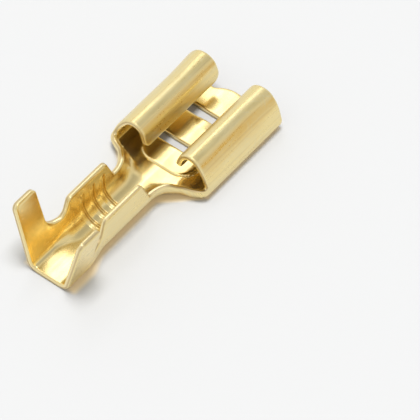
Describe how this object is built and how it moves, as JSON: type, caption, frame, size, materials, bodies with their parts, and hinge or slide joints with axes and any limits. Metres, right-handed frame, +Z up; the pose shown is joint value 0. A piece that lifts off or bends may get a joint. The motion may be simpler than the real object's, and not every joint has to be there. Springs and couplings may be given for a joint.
{
  "type": "female spade terminal",
  "caption": "Female spade terminal folded from brass strip: rolled sides grip a flat tab, and open U-shaped barrels behind a flared neck crimp onto the wire and its insulation.",
  "frame": {"origin": "under the middle of the terminal, on the plane of its flat base", "axes": "+X towards the mouth that takes the tab, +Y across the terminal, +Z up from the base to the wings"},
  "size_m": [0.0186, 0.0076, 0.0052],
  "materials": {
    "brass": "bright stamped strip"
  },
  "bodies": {
    "root": {"terminal": "brass"}
  },
  "joints": []
}
